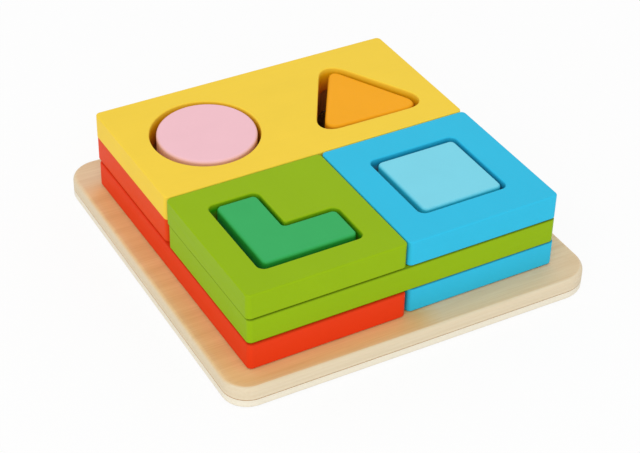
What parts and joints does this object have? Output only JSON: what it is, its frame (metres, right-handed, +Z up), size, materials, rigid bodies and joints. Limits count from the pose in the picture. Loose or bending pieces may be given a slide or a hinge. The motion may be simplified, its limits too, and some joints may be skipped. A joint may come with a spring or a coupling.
{
  "type": "wooden sorting toy",
  "caption": "Flat square wooden sorting toy: painted plates stack in layers over a round, a triangular, an L-shaped and a square post on a plain board.",
  "frame": {"origin": "middle of the base's underside", "axes": "+X along the front edge to the right, +Y to the back, +Z up, the way the plates lift off"},
  "size_m": [0.1688, 0.1714, 0.0455],
  "materials": {
    "bare_plywood": "sanded bare plywood, fine grain",
    "bare_beech": "turned bare beech",
    "pink_paint": "satin water-based paint",
    "orange_paint": "satin water-based paint",
    "deep_green_paint": "satin water-based paint",
    "pale_blue_paint": "satin water-based paint",
    "blue_paint": "satin water-based paint",
    "red_paint": "satin water-based paint",
    "leaf_green_paint": "satin water-based paint",
    "yellow_paint": "satin water-based paint"
  },
  "bodies": {
    "base": {"base_backing_board": "bare_plywood", "base_top_board": "bare_plywood", "round_post": "pink_paint", "round_post_dowel_1": "bare_beech", "round_post_dowel_2": "bare_beech", "triangle_post": "orange_paint", "triangle_post_dowel_1": "bare_beech", "triangle_post_dowel_2": "bare_beech", "corner_post": "deep_green_paint", "corner_post_dowel_1": "bare_beech", "corner_post_dowel_2": "bare_beech", "square_post": "pale_blue_paint", "square_post_dowel_1": "bare_beech", "square_post_dowel_2": "bare_beech"},
    "bottom_blue": {"bottom_blue_plate": "blue_paint"},
    "bottom_red": {"bottom_red_plate": "red_paint"},
    "middle_red": {"middle_red_plate": "red_paint"},
    "middle_green": {"middle_green_plate": "leaf_green_paint"},
    "yellow_double": {"yellow_double_plate": "yellow_paint"},
    "top_green": {"top_green_plate": "leaf_green_paint"},
    "top_blue": {"top_blue_plate": "blue_paint"}
  },
  "joints": [
    {"name": "bottom_blue_lift", "type": "slide", "parent": "base", "child": "bottom_blue", "axis": [0, 0, 1], "range_m": [0, 0.04]},
    {"name": "bottom_red_lift", "type": "slide", "parent": "bottom_blue", "child": "bottom_red", "axis": [0, 0, 1], "range_m": [0, 0.04]},
    {"name": "middle_red_lift", "type": "slide", "parent": "bottom_red", "child": "middle_red", "axis": [0, 0, 1], "range_m": [0, 0.028]},
    {"name": "middle_green_lift", "type": "slide", "parent": "bottom_red", "child": "middle_green", "axis": [0, 0, 1], "range_m": [0, 0.028]},
    {"name": "yellow_double_lift", "type": "slide", "parent": "middle_red", "child": "yellow_double", "axis": [0, 0, 1], "range_m": [0, 0.016]},
    {"name": "top_green_lift", "type": "slide", "parent": "middle_green", "child": "top_green", "axis": [0, 0, 1], "range_m": [0, 0.016]},
    {"name": "top_blue_lift", "type": "slide", "parent": "middle_green", "child": "top_blue", "axis": [0, 0, 1], "range_m": [0, 0.016]}
  ]
}
